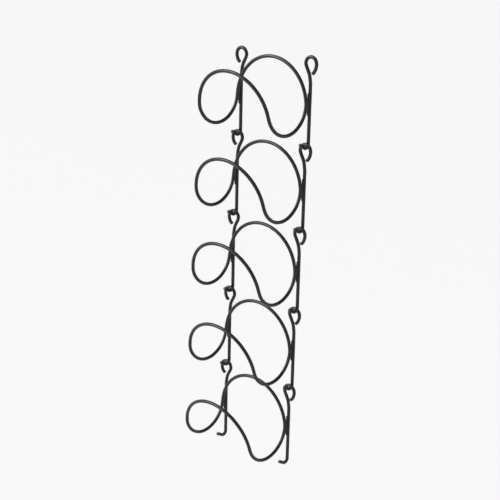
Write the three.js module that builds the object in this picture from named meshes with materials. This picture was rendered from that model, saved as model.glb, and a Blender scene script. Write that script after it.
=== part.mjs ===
// Hanging wine rack for a wall: wire cradles one below the other, each holding one bottle on its side.
// A cradle is an oval ring of wire rolled into a saddle, and short spacers hold it off two upright rods.
// A rod ends in an eye above and a hook below. The eyes of each unit hang on the hooks of the unit over
// it, so a unit can swing away from the wall.
//
// Millimetres. X runs along the bottle, +Y goes into the wall and +Z is up. The origin lies midway
// between the two top eyes, at the centre of the wire that rests on the wall nails.

import * as THREE from 'three';

// Driving dimensions
const unitCount = 5;
const unitPitch = 130;      // from one pair of eyes to the next
const rodSpacing = 138;     // between the centre lines of the two rods
const mainWire = 5.4;       // diameter of the wire of rods and cradles, over its coating
const spacerWire = 2.5;
const weldGap = 0.3;        // left between pieces that are welded together
const hangGap = 0.5;        // left between an eye and the hook it hangs on

// Cradle, seen from the side: a straight back, a round seat and a straight front that leans out.
const seatRadius = 43;      // to the centre of the wire
const backHeight = 62;      // from the start of the seat to the top of the back arch
const frontHeight = 60;     // the same along the front
const frontLean = THREE.MathUtils.degToRad(12.5);
const cradleTop = -5.5;     // top of the back arch, measured from the centre of the eyes' top wire

// Spacers
const spacerLength = 34;
const spacerMiddle = -70;

// Eye, to the centre of the wire
const eyeRadius = 10;       // of its round top
const eyeHeight = 27;       // from the top of the eye down to where it narrows into the stem
const stemOffset = 2.4;     // of the stem there from the rod's centre line
const neckLength = 14;      // over which the stem runs in to the rod's centre line
// Where the free end of each eye turns in and where it stops: the right eyes are bent nearly shut.
const leftEyeEnd = [{ x: -7.6, z: -19 }, { x: -3, z: -23 }];
const rightEyeEnd = [{ x: -7.4, z: -20 }, { x: -2.9, z: -25.2 }];

// Hook
const hookRadius = 6.2;
const hookTurn = THREE.MathUtils.degToRad(120);
const hookTip = 13;         // straight length after the bend

const wireSides = 8;

// A hanging unit leans until the hooks' bends are straight below its eyes.
const hookDrop = unitPitch - (hookRadius - mainWire - hangGap);
const unitLean = Math.asin(hookRadius / hookDrop);
const hookCentre = -Math.sqrt(hookDrop ** 2 - hookRadius ** 2);

const blackCoating = { color: 0x1c1c1e, roughness: 0.45, metalness: 0.1 };

// A ring of corners round one point of a wire, as a polygon with the area of the round section.
function wireRing(point, direction, normal, diameter) {
  const cornerRadius = diameter / 2 * Math.sqrt(2 * Math.PI / wireSides / Math.sin(2 * Math.PI / wireSides));
  const binormal = new THREE.Vector3().crossVectors(direction, normal);
  return Array.from({ length: wireSides }, (_, side) => {
    const angle = 2 * Math.PI * side / wireSides;
    return point.clone()
      .addScaledVector(normal, cornerRadius * Math.cos(angle))
      .addScaledVector(binormal, cornerRadius * Math.sin(angle));
  });
}

// A round wire along a chain of points. The rings are carried from point to point without twisting.
// A closed wire has to be the same left and right, so that its last ring meets the first.
function wireGeometry(points, diameter, firstNormal, closed = false) {
  const count = points.length;
  const normal = firstNormal.clone();
  const corners = [];
  points.forEach((point, index) => {
    const before = closed ? points[(index + count - 1) % count] : points[Math.max(index - 1, 0)];
    const after = closed ? points[(index + 1) % count] : points[Math.min(index + 1, count - 1)];
    const direction = after.clone().sub(before).normalize();
    normal.addScaledVector(direction, -normal.dot(direction)).normalize();
    corners.push(...wireRing(point, direction, normal, diameter));
  });

  const faces = [];
  const bands = closed ? count : count - 1;
  for (let band = 0; band < bands; band++) {
    const next = (band + 1) % count;
    for (let side = 0; side < wireSides; side++) {
      const beside = (side + 1) % wireSides;
      const [a, b] = [band * wireSides + side, band * wireSides + beside];
      const [c, d] = [next * wireSides + beside, next * wireSides + side];
      faces.push(a, b, c, a, c, d);
    }
  }
  if (!closed) {
    const lastRing = (count - 1) * wireSides;
    for (let side = 1; side < wireSides - 1; side++) {
      faces.push(0, side + 1, side);
      faces.push(lastRing, lastRing + side, lastRing + side + 1);
    }
  }

  const geometry = new THREE.BufferGeometry().setFromPoints(corners);
  geometry.setIndex(faces);
  geometry.computeVertexNormals();
  return geometry;
}

function wireMesh(name, geometry) {
  const mesh = new THREE.Mesh(geometry, new THREE.MeshStandardMaterial(blackCoating));
  mesh.name = name;
  return mesh;
}

// The flat oval ring before rolling: x across, y as the length measured from the back arch's top.
function ovalRing(width, length) {
  const radius = width / 2;
  const arcSteps = 9;
  const sideSteps = 11;
  const half = [];
  for (let step = 0; step <= arcSteps; step++) {
    const angle = Math.PI / 2 * step / arcSteps;
    half.push(new THREE.Vector2(radius * Math.sin(angle), radius * (1 - Math.cos(angle))));
  }
  for (let step = 1; step < sideSteps; step++) {
    half.push(new THREE.Vector2(radius, radius + (length - width) * step / sideSteps));
  }
  for (let step = 0; step <= arcSteps; step++) {
    const angle = Math.PI / 2 * step / arcSteps;
    half.push(new THREE.Vector2(radius * Math.cos(angle), length - radius * (1 - Math.sin(angle))));
  }
  const otherHalf = half.slice(1, -1).reverse().map(point => new THREE.Vector2(-point.x, point.y));
  return half.concat(otherHalf);
}

// Carries a length along the ring onto the cradle's side view: down the back, round the seat, up the front.
function rolledPoint(x, length) {
  const seatAngle = Math.PI - frontLean;
  const seatLength = seatRadius * seatAngle;
  const seatStart = cradleTop - backHeight;
  const backLine = -mainWire - spacerWire - 2 * weldGap;
  if (length <= backHeight) return new THREE.Vector3(x, backLine, cradleTop - length);

  const angle = Math.min((length - backHeight) / seatRadius, seatAngle);
  const rise = Math.max(length - backHeight - seatLength, 0);
  return new THREE.Vector3(
    x,
    backLine - seatRadius * (1 - Math.cos(angle)) - rise * Math.sin(frontLean),
    seatStart - seatRadius * Math.sin(angle) + rise * Math.cos(frontLean),
  );
}

function cradleGeometry() {
  const length = backHeight + seatRadius * (Math.PI - frontLean) + frontHeight;
  const ring = ovalRing(rodSpacing, length).map(point => rolledPoint(point.x, point.y));
  return wireGeometry(ring, mainWire, new THREE.Vector3(0, 0, 1), true);
}

// The rod's centre line from the free end of the eye to the tip of the hook. side is 1 for the rod whose
// stem lies towards +X and -1 for its mirror image.
function rodGeometry(side, eyeEnd) {
  const eyePoint = (x, z) => new THREE.Vector3(side * x, 0, z);
  const roundTop = [-90, -45, 0, 45, 90].map(degrees => {
    const angle = THREE.MathUtils.degToRad(degrees);
    return eyePoint(eyeRadius * Math.sin(angle), eyeRadius * (Math.cos(angle) - 1));
  });
  const neckEnd = -eyeHeight - neckLength;
  const eye = new THREE.CatmullRomCurve3([
    ...eyeEnd.map(point => eyePoint(point.x, point.z)).reverse(),
    ...roundTop,
    eyePoint(stemOffset, -eyeHeight),
    eyePoint(0, neckEnd),
    eyePoint(0, neckEnd - 5),
  ]);
  const points = eye.getPoints(36);

  const bendSteps = 9;
  for (let step = 0; step <= bendSteps; step++) {
    const angle = hookTurn * step / bendSteps;
    const y = -hookRadius * (1 - Math.cos(angle));
    points.push(new THREE.Vector3(0, y, hookCentre - hookRadius * Math.sin(angle)));
  }
  const tipDirection = new THREE.Vector3(0, -Math.sin(hookTurn), -Math.cos(hookTurn));
  points.push(points.at(-1).clone().addScaledVector(tipDirection, hookTip));
  return wireGeometry(points, mainWire, new THREE.Vector3(0, 1, 0));
}

function spacerGeometry() {
  const ends = [spacerLength / 2, -spacerLength / 2].map(z => new THREE.Vector3(0, 0, z));
  return wireGeometry(ends, spacerWire, new THREE.Vector3(0, 1, 0));
}

function rackUnit(number) {
  const unit = new THREE.Group();
  unit.add(wireMesh(`cradle_${number}`, cradleGeometry()));
  const sides = [
    { name: 'left', direction: -1, eyeEnd: leftEyeEnd },
    { name: 'right', direction: 1, eyeEnd: rightEyeEnd },
  ];
  for (const { name, direction, eyeEnd } of sides) {
    const x = direction * rodSpacing / 2;
    const rod = wireMesh(`rod_${name}_${number}`, rodGeometry(-direction, eyeEnd));
    rod.position.x = x;
    const spacer = wireMesh(`spacer_${name}_${number}`, spacerGeometry());
    spacer.position.set(x, -(mainWire + spacerWire) / 2 - weldGap, spacerMiddle);
    unit.add(rod, spacer);
  }
  unit.rotation.x = unitLean;
  unit.position.z = -unitPitch * (number - 1);
  return unit;
}

const rack = new THREE.Group();
rack.name = 'wine_rack';
for (let number = 1; number <= unitCount; number++) rack.add(rackUnit(number));

export default rack;
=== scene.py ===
"""Looks of the hanging wine rack: smooth coated wires, their bent eyes and hooks, and the weld seams.

Metres, in the CAD part's frame: X along the bottles, +Y into the wall, +Z up, origin midway between the
two top eyes. The wires follow the same curves as the CAD part, whose dimensions are repeated here.
"""
import math

import bpy
import numpy as np
from mathutils import Matrix, Vector


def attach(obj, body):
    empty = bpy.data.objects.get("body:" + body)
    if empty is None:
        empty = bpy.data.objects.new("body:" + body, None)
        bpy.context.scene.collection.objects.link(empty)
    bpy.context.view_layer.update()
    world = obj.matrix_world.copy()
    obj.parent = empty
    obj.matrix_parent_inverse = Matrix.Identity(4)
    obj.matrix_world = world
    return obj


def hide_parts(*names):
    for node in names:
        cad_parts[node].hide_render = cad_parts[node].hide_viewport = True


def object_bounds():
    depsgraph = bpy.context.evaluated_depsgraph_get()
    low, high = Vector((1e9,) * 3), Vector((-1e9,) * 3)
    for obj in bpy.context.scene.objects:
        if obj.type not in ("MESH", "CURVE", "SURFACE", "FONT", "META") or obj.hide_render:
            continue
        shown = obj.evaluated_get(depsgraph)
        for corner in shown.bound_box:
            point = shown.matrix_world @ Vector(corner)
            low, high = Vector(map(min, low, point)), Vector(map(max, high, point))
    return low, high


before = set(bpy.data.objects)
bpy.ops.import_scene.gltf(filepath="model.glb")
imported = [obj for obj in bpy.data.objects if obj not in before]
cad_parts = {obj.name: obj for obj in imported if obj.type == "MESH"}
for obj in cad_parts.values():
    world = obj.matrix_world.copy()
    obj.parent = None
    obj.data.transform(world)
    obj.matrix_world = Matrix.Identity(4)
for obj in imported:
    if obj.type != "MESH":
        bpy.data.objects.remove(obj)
cad_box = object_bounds()

MM = 0.001

# The CAD part's dimensions, in millimetres
UNIT_COUNT = 5
UNIT_PITCH = 130
ROD_SPACING = 138
MAIN_WIRE = 5.4
SPACER_WIRE = 2.5
WELD_GAP = 0.3
HANG_GAP = 0.5
SEAT_RADIUS = 43
BACK_HEIGHT = 62
FRONT_HEIGHT = 60
FRONT_LEAN = math.radians(12.5)
CRADLE_TOP = -5.5
SPACER_LENGTH = 34
SPACER_MIDDLE = -70
EYE_RADIUS = 10
EYE_HEIGHT = 27
STEM_OFFSET = 2.4
NECK_LENGTH = 14
NECK_LEAD = 5           # of straight rod that the eye's curve takes in below its neck
EYE_ENDS = {"left": [(-7.6, -19), (-3, -23)], "right": [(-7.4, -20), (-2.9, -25.2)]}
HOOK_RADIUS = 6.2
HOOK_TURN = math.radians(120)
HOOK_TIP = 13

BACK_LINE = -MAIN_WIRE - SPACER_WIRE - 2 * WELD_GAP
SPACER_LINE = -(MAIN_WIRE + SPACER_WIRE) / 2 - WELD_GAP
HOOK_DROP = UNIT_PITCH - (HOOK_RADIUS - MAIN_WIRE - HANG_GAP)
UNIT_LEAN = math.asin(HOOK_RADIUS / HOOK_DROP)
HOOK_CENTRE = -math.sqrt(HOOK_DROP ** 2 - HOOK_RADIUS ** 2)

# The visible meshes
WIRE_SIDES = 24
QUARTER_STEPS = 40      # along a quarter turn of a cradle's oval
SIDE_STEPS = 50         # along each of its straight sides
EYE_STEPS = 10          # on each stretch of an eye's curve
STRAIGHT_RINGS = 20
BEND_RINGS = 24
SPACER_RINGS = 16
SEAM_RINGS = 30
END_ROUNDING = 0.22     # depth of the rounding of a wire's cut end, in wire diameters
END_STEP = 15           # degrees between the rings of that rounding
SHARP_ANGLE = math.radians(35)
WEAR_REACH = 3.2        # mm from a point of contact over which the coating is rubbed

# Weld seams, in millimetres
SEAM_RADIUS = 0.85
SEAM_OFFSET = 1.1       # to each side of the spacer's centre line
SEAM_SINK = 0.2         # of a seam's centre line into the spacer, from the middle of the gap
ROD_SEAM_LENGTH = 9
ROD_SEAM_PLACE = 10.5   # of its middle above or below the spacer's middle
CRADLE_SEAM_LENGTH = 12
CRADLE_SEAM_PLACE = 2

# Colours
COAT_DARK = (0.007, 0.007, 0.008, 1)
COAT_LIGHT = (0.012, 0.012, 0.0135, 1)
COAT_SPECK = (0.030, 0.030, 0.032, 1)
RUBBED_COAT = (0.16, 0.155, 0.15, 1)
FLOOR_COLOUR = (0.9, 0.9, 0.9, 1)
STUDIO_WHITE = (1, 1, 1, 1)

# The camera's place, in metres, and its lens, fitted to the photograph
CAMERA_AZIMUTH = math.radians(41.05)
CAMERA_ELEVATION = math.radians(15.99)
CAMERA_ROLL = math.radians(3.075)
CAMERA_DISTANCE = 1.7225
CAMERA_TARGET = Vector((-0.0302, 0, -0.3175))
CAMERA_LENS = 77.3      # mm, on the sensor of 36 mm
CAMERA_SENSOR = 36
CAMERA_CLIP = 200

# The studio: its floor in metres, and its lights
FLOOR_REACH = 80
FLOOR_DROP = 0.3        # from the lowest point of the rack to the floor
HORIZON_LIGHT = 0.93
OVERHEAD_LIGHT = 0.2
SOFTBOX_STRENGTH = 4.8
SOFTBOX_ANGLE = math.radians(36)
SOFTBOX_DIRECTION = Vector((-0.6, -0.7, 0.55))    # from the rack towards the light


def photo_camera():
    """The camera at the photograph's angle, with its slight roll."""
    back = Vector((
        math.sin(CAMERA_AZIMUTH) * math.cos(CAMERA_ELEVATION),
        -math.cos(CAMERA_AZIMUTH) * math.cos(CAMERA_ELEVATION),
        math.sin(CAMERA_ELEVATION),
    ))
    level = Vector((0, 0, 1)).cross(back).normalized()
    upright = back.cross(level)
    right = math.cos(CAMERA_ROLL) * level + math.sin(CAMERA_ROLL) * upright
    up = math.cos(CAMERA_ROLL) * upright - math.sin(CAMERA_ROLL) * level

    data = bpy.data.cameras.new("photo_camera")
    data.lens = CAMERA_LENS
    data.sensor_width = CAMERA_SENSOR
    data.clip_end = CAMERA_CLIP
    camera = bpy.data.objects.new("photo_camera", data)
    turn = Matrix((right, up, back)).transposed().to_4x4()
    camera.matrix_world = Matrix.Translation(CAMERA_TARGET + back * CAMERA_DISTANCE) @ turn
    bpy.context.scene.collection.objects.link(camera)
    bpy.context.scene.camera = camera


photo_camera()


# Materials

def feed(tree, socket, value):
    """Gives socket a fixed number or colour, or links another node's output to it."""
    if isinstance(value, bpy.types.NodeSocket):
        tree.links.new(value, socket)
    else:
        socket.default_value = value


def add_node(tree, kind, **settings):
    """A new node with its inputs fed and its other settings set, each by name."""
    node = tree.nodes.new(kind)
    for name, value in settings.items():
        if name in node.inputs:
            feed(tree, node.inputs[name], value)
        else:
            setattr(node, name, value)
    return node


def noise(tree, place, scale, detail):
    """Noise that changes scale times in a metre."""
    return add_node(tree, "ShaderNodeTexNoise", Vector=place, Scale=scale, Detail=detail).outputs["Fac"]


def spread(tree, value, low, high, from_low=0.3, from_high=0.7):
    """value, which runs over about from_low to from_high, carried onto low to high."""
    node = add_node(tree, "ShaderNodeMapRange", Value=value)
    for name, number in (("From Min", from_low), ("From Max", from_high), ("To Min", low), ("To Max", high)):
        feed(tree, node.inputs[name], number)
    return node.outputs["Result"]


def blend_colours(tree, share, first, second):
    """Mixes two colours, each a fixed colour or a node's output."""
    node = add_node(tree, "ShaderNodeMix", data_type="RGBA", Factor=share)
    colour_a, colour_b = (socket for socket in node.inputs if socket.type == "RGBA")
    feed(tree, colour_a, first)
    feed(tree, colour_b, second)
    return next(socket for socket in node.outputs if socket.type == "RGBA")


def multiply(tree, first, second):
    """The product of two values, each a number or a node's output."""
    node = add_node(tree, "ShaderNodeMath", operation="MULTIPLY")
    feed(tree, node.inputs[0], first)
    feed(tree, node.inputs[1], second)
    return node.outputs[0]


def coating_material():
    """Satin black powder coat: fine orange peel, a little uneven in tone, rubbed where wires touch."""
    material = bpy.data.materials.new("coated_wire")
    material.use_nodes = True
    tree = material.node_tree
    place = add_node(tree, "ShaderNodeTexCoord").outputs["Object"]
    shader = tree.nodes["Principled BSDF"]
    shader.inputs["Specular IOR Level"].default_value = 0.3

    tone = spread(tree, noise(tree, place, 45, 3), 0, 1)
    speckle = spread(tree, noise(tree, place, 1400, 2), 0, 0.35, 0.45, 0.75)
    coat = blend_colours(tree, tone, COAT_DARK, COAT_LIGHT)
    coat = blend_colours(tree, speckle, coat, COAT_SPECK)

    rubbed = add_node(tree, "ShaderNodeAttribute", attribute_name="wear").outputs["Fac"]
    patches = spread(tree, noise(tree, place, 900, 4), 0, 1, 0.4, 0.62)
    worn = multiply(tree, rubbed, patches)
    feed(tree, shader.inputs["Base Color"], blend_colours(tree, worn, coat, RUBBED_COAT))

    gloss = noise(tree, place, 160, 3)
    feed(tree, shader.inputs["Roughness"], spread(tree, gloss, 0.30, 0.46))

    orange_peel = noise(tree, place, 650, 2)
    fine = add_node(tree, "ShaderNodeBump", Strength=0.35, Distance=0.00012, Height=orange_peel)
    waves = noise(tree, place, 130, 1)
    broad = add_node(tree, "ShaderNodeBump", Strength=0.25, Distance=0.0004, Height=waves)
    feed(tree, broad.inputs["Normal"], fine.outputs["Normal"])
    feed(tree, shader.inputs["Normal"], broad.outputs["Normal"])
    return material


def floor_material():
    material = bpy.data.materials.new("pale_floor")
    material.use_nodes = True
    shader = material.node_tree.nodes["Principled BSDF"]
    shader.inputs["Base Color"].default_value = FLOOR_COLOUR
    shader.inputs["Roughness"].default_value = 0.8
    return material


COATING = coating_material()


# Wires

def unit_vectors(vectors):
    """The same directions with a length of 1."""
    return vectors / np.linalg.norm(vectors, axis=-1, keepdims=True)


def wire_rings(points, radii, first_normal, closed):
    """The corners of a round wire along points, one ring for each, carried on without twisting."""
    if closed:
        steps = unit_vectors(np.roll(points, -1, axis=0) - points)
        directions = unit_vectors(steps + np.roll(steps, 1, axis=0))
    else:
        steps = unit_vectors(np.diff(points, axis=0))
        directions = unit_vectors(np.vstack([steps[:1], steps[1:] + steps[:-1], steps[-1:]]))
    angles = 2 * math.pi * np.arange(WIRE_SIDES) / WIRE_SIDES
    normal = np.array(first_normal, float)
    rings = []
    for point, direction, radius in zip(points, directions, radii):
        normal = unit_vectors(normal - normal.dot(direction) * direction)
        binormal = np.cross(direction, normal)
        around = np.outer(np.cos(angles), normal) + np.outer(np.sin(angles), binormal)
        rings.append(point + radius * around)
    return np.array(rings)


def wire_faces(ring_count, closed):
    """The faces between a wire's rings, and its two end faces where it isn't closed."""
    faces = []
    for ring in range(ring_count if closed else ring_count - 1):
        following = (ring + 1) % ring_count
        for side in range(WIRE_SIDES):
            beside = (side + 1) % WIRE_SIDES
            faces.append((
                ring * WIRE_SIDES + side,
                ring * WIRE_SIDES + beside,
                following * WIRE_SIDES + beside,
                following * WIRE_SIDES + side,
            ))
    if not closed:
        last = (ring_count - 1) * WIRE_SIDES
        faces.append(tuple(reversed(range(WIRE_SIDES))))
        faces.append(tuple(last + side for side in range(WIRE_SIDES)))
    return faces


def wear_at(corners, contacts):
    """How far each corner's coating is rubbed: most at the points of contact, nothing beyond WEAR_REACH."""
    wear = np.zeros(len(corners))
    for point, strength in contacts:
        distance = np.linalg.norm(corners - np.array(point), axis=1)
        wear = np.maximum(wear, strength * np.clip(1 - distance / WEAR_REACH, 0, 1))
    return wear


def make_piece(name, corners, faces, contacts, number, *replaced):
    """A mesh piece of unit number, from millimetres in that unit's own frame.

    contacts are the places where its coating is rubbed, and replaced is the CAD node that it stands for,
    if there is one.
    """
    mesh = bpy.data.meshes.new(name)
    mesh.from_pydata([tuple(corner) for corner in corners * MM], [], faces)
    mesh.attributes.new("wear", "FLOAT", "POINT").data.foreach_set("value", wear_at(corners, contacts))
    mesh.shade_smooth()
    mesh.set_sharp_from_angle(angle=SHARP_ANGLE)
    hang = Matrix.Translation((0, 0, -UNIT_PITCH * MM * (number - 1)))
    mesh.transform(hang @ Matrix.Rotation(UNIT_LEAN, 4, "X"))
    mesh.materials.append(COATING)
    piece = bpy.data.objects.new(name, mesh)
    bpy.context.scene.collection.objects.link(piece)
    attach(piece, f"unit_{number}")
    if replaced:
        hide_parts(*replaced)


def cut_wire(points, diameter, first_normal):
    """Corners and faces of a wire along points, with its two cut ends rounded over."""
    lengths = np.concatenate([[0], np.cumsum(np.linalg.norm(np.diff(points, axis=0), axis=1))])
    depth = END_ROUNDING * diameter
    angles = np.radians(np.arange(END_STEP, 91, END_STEP))
    insets = depth * (1 - np.cos(angles))
    margin = 1.2 * depth    # keeps the wire's own rings clear of the rounding's last one
    inner = lengths[(lengths > margin) & (lengths < lengths[-1] - margin)]
    places = np.concatenate([insets, inner, lengths[-1] - insets[::-1]])
    shares = np.concatenate([np.sin(angles), np.ones(len(inner)), np.sin(angles[::-1])])
    points = np.stack([np.interp(places, lengths, axis) for axis in points.T], axis=1)
    rings = wire_rings(points, diameter / 2 * shares, first_normal, closed=False)
    return rings.reshape(-1, 3), wire_faces(len(points), closed=False)


# Cradles

def oval_ring(width, length):
    """The flat oval before rolling: how far across, and how far along from the back arch's top."""
    radius = width / 2
    quarter = np.linspace(0, math.pi / 2, QUARTER_STEPS, endpoint=False)
    side = np.linspace(radius, length - radius, SIDE_STEPS, endpoint=False)
    across = np.concatenate([
        radius * np.sin(quarter),
        np.full(SIDE_STEPS, radius),
        radius * np.cos(quarter),
        [0],
    ])
    along = np.concatenate([
        radius * (1 - np.cos(quarter)),
        side,
        length - radius * (1 - np.sin(quarter)),
        [length],
    ])
    return np.concatenate([across, -across[-2:0:-1]]), np.concatenate([along, along[-2:0:-1]])


def rolled_points(across, along):
    """The oval ring rolled into the cradle: down the back, round the seat and up the front."""
    seat_angle = math.pi - FRONT_LEAN
    angle = np.clip((along - BACK_HEIGHT) / SEAT_RADIUS, 0, seat_angle)
    fall = np.minimum(along, BACK_HEIGHT)
    rise = np.maximum(along - BACK_HEIGHT - SEAT_RADIUS * seat_angle, 0)
    depth = BACK_LINE - SEAT_RADIUS * (1 - np.cos(angle)) - rise * math.sin(FRONT_LEAN)
    height = CRADLE_TOP - fall - SEAT_RADIUS * np.sin(angle) + rise * math.cos(FRONT_LEAN)
    return np.stack([across, depth, height], axis=1)


def make_cradle(number):
    length = BACK_HEIGHT + SEAT_RADIUS * (math.pi - FRONT_LEAN) + FRONT_HEIGHT
    points = rolled_points(*oval_ring(ROD_SPACING, length))
    rings = wire_rings(points, np.full(len(points), MAIN_WIRE / 2), (0, 0, 1), closed=True)
    faces = wire_faces(len(points), closed=True)
    make_piece(f"cradle_wire_{number}", rings.reshape(-1, 3), faces, [], number, f"cradle_{number}")


# Rods

def smooth_curve(controls, steps):
    """A centripetal Catmull-Rom curve through controls, with steps points on each stretch."""
    controls = np.array(controls, float)
    before = 2 * controls[0] - controls[1]
    after = 2 * controls[-1] - controls[-2]
    padded = np.vstack([before, controls, after])
    t = np.linspace(0, 1, steps, endpoint=False)[:, None]
    points = []
    for p0, p1, p2, p3 in zip(padded, padded[1:], padded[2:], padded[3:]):
        d0, d1, d2 = (math.sqrt(np.linalg.norm(b - a)) for a, b in ((p0, p1), (p1, p2), (p2, p3)))
        start = ((p1 - p0) / d0 - (p2 - p0) / (d0 + d1) + (p2 - p1) / d1) * d1
        end = ((p2 - p1) / d1 - (p3 - p1) / (d1 + d2) + (p3 - p2) / d2) * d1
        cubic = 2 * p1 - 2 * p2 + start + end
        square = -3 * p1 + 3 * p2 - 2 * start - end
        points.append(((cubic * t + square) * t + start) * t + p1)
    return np.vstack(points + [controls[-1:]])


def rod_points(stem_side, eye_end):
    """The rod's centre line from the eye's free end to the hook's tip; stem_side is 1 or -1."""
    neck_end = -EYE_HEIGHT - NECK_LENGTH
    straight_start = neck_end - NECK_LEAD
    arch_angles = [math.radians(angle) for angle in (-90, -45, 0, 45, 90)]
    outline = [
        *reversed(eye_end),
        *[(EYE_RADIUS * math.sin(angle), EYE_RADIUS * (math.cos(angle) - 1)) for angle in arch_angles],
        (STEM_OFFSET, -EYE_HEIGHT),
        (0, neck_end),
        (0, straight_start),
    ]
    eye = smooth_curve([(stem_side * x, 0, z) for x, z in outline], EYE_STEPS)
    straight = [(0, 0, z) for z in np.linspace(straight_start, HOOK_CENTRE, STRAIGHT_RINGS)[1:-1]]
    angles = np.linspace(0, HOOK_TURN, BEND_RINGS)
    bend = np.stack([
        np.zeros(len(angles)),
        -HOOK_RADIUS * (1 - np.cos(angles)),
        HOOK_CENTRE - HOOK_RADIUS * np.sin(angles),
    ], axis=1)
    tip_direction = np.array((0, -math.sin(HOOK_TURN), -math.cos(HOOK_TURN)))
    tip = [bend[-1] + tip_direction * HOOK_TIP * share for share in (0.25, 0.5, 0.75, 1)]
    return np.vstack([eye, straight, bend, tip])


def make_rod(side_name, side, number):
    x = side * ROD_SPACING / 2
    points = rod_points(-side, EYE_ENDS[side_name])
    points[:, 0] += x
    corners, faces = cut_wire(points, MAIN_WIRE, (0, 1, 0))
    bend_bottom = HOOK_CENTRE - HOOK_RADIUS + MAIN_WIRE / 2
    contacts = [
        ((x, 0, -MAIN_WIRE / 2), 1),
        ((x, -HOOK_RADIUS, bend_bottom), 1),
        (points[0], 0.4),
    ]
    name = f"rod_{side_name}_{number}"
    make_piece(f"rod_wire_{side_name}_{number}", corners, faces, contacts, number, name)


# Spacers and welds

def upright_points(x, y, heights):
    return np.array([(x, y, z) for z in heights])


def make_spacer(side_name, side, number):
    x = side * ROD_SPACING / 2
    heights = SPACER_MIDDLE + np.linspace(SPACER_LENGTH / 2, -SPACER_LENGTH / 2, SPACER_RINGS)
    points = upright_points(x, SPACER_LINE, heights)
    corners, faces = cut_wire(points, SPACER_WIRE, (0, 1, 0))
    name = f"spacer_{side_name}_{number}"
    make_piece(f"spacer_wire_{side_name}_{number}", corners, faces, [], number, name)


def weld_seam(x, y, middle, length, phase):
    """One run of weld in the groove between two wires: a lumpy bead that thins out at its ends."""
    share = np.linspace(0, 1, SEAM_RINGS)
    points = upright_points(x, y, middle + length * (0.5 - share))
    lumps = 0.10 * np.sin(share * length * 2.6 + phase)
    ripples = 0.05 * np.sin(share * length * 5.1 + 2 * phase)
    ends = np.sqrt(np.clip(1 - (2 * share - 1) ** 6, 0.04, 1))
    rings = wire_rings(points, SEAM_RADIUS * (1 + lumps + ripples) * ends, (0, 1, 0), closed=False)
    return rings.reshape(-1, 3), wire_faces(len(points), closed=False)


def make_welds(side_name, side, number):
    """The seams that hold the spacer to the rod, near its two ends, and to the cradle at its middle."""
    rod_groove = -MAIN_WIRE / 2 - WELD_GAP / 2 - SEAM_SINK
    cradle_groove = BACK_LINE + MAIN_WIRE / 2 + WELD_GAP / 2 + SEAM_SINK
    corners, faces = [], []
    for face_side in (-1, 1):
        x = side * ROD_SPACING / 2 + face_side * SEAM_OFFSET
        phase = 1.7 * number + 0.9 * side + 2.1 * face_side
        seams = [
            weld_seam(x, rod_groove, SPACER_MIDDLE + ROD_SEAM_PLACE, ROD_SEAM_LENGTH, phase),
            weld_seam(x, rod_groove, SPACER_MIDDLE - ROD_SEAM_PLACE, ROD_SEAM_LENGTH, phase + 1),
            weld_seam(x, cradle_groove, SPACER_MIDDLE + CRADLE_SEAM_PLACE, CRADLE_SEAM_LENGTH, phase + 2),
        ]
        for seam_corners, seam_faces in seams:
            offset = sum(len(group) for group in corners)
            corners.append(seam_corners)
            faces.extend(tuple(corner + offset for corner in face) for face in seam_faces)
    make_piece(f"weld_{side_name}_{number}", np.vstack(corners), faces, [], number)


for number in range(1, UNIT_COUNT + 1):
    make_cradle(number)
    for side_name, side in (("left", -1), ("right", 1)):
        make_rod(side_name, side, number)
        make_spacer(side_name, side, number)
        make_welds(side_name, side, number)


# Studio

def make_floor():
    mesh = bpy.data.meshes.new("floor")
    corners = [(FLOOR_REACH * x, FLOOR_REACH * y, 0) for x, y in ((-1, -1), (1, -1), (1, 1), (-1, 1))]
    mesh.from_pydata(corners, [], [(0, 1, 2, 3)])
    mesh.materials.append(floor_material())
    floor = bpy.data.objects.new("floor", mesh)
    floor.location.z = cad_box[0].z - FLOOR_DROP
    bpy.context.scene.collection.objects.link(floor)


def light_studio():
    """A white surround, bright at the horizon and dim overhead, and one large soft light from the left."""
    world = bpy.data.worlds.new("studio")
    world.use_nodes = True
    tree = world.node_tree
    background = tree.nodes["Background"]
    background.inputs["Color"].default_value = STUDIO_WHITE
    direction = add_node(tree, "ShaderNodeTexCoord").outputs["Generated"]
    height = add_node(tree, "ShaderNodeSeparateXYZ", Vector=direction).outputs["Z"]
    feed(tree, background.inputs["Strength"], spread(tree, height, HORIZON_LIGHT, OVERHEAD_LIGHT, 0.1, 0.5))
    bpy.context.scene.world = world

    data = bpy.data.lights.new("softbox", "SUN")
    data.energy = SOFTBOX_STRENGTH
    data.angle = SOFTBOX_ANGLE
    light = bpy.data.objects.new("softbox", data)
    light.rotation_euler = SOFTBOX_DIRECTION.to_track_quat("Z", "Y").to_euler()
    bpy.context.scene.collection.objects.link(light)
    bpy.context.scene.view_settings.view_transform = "Standard"


make_floor()
light_studio()
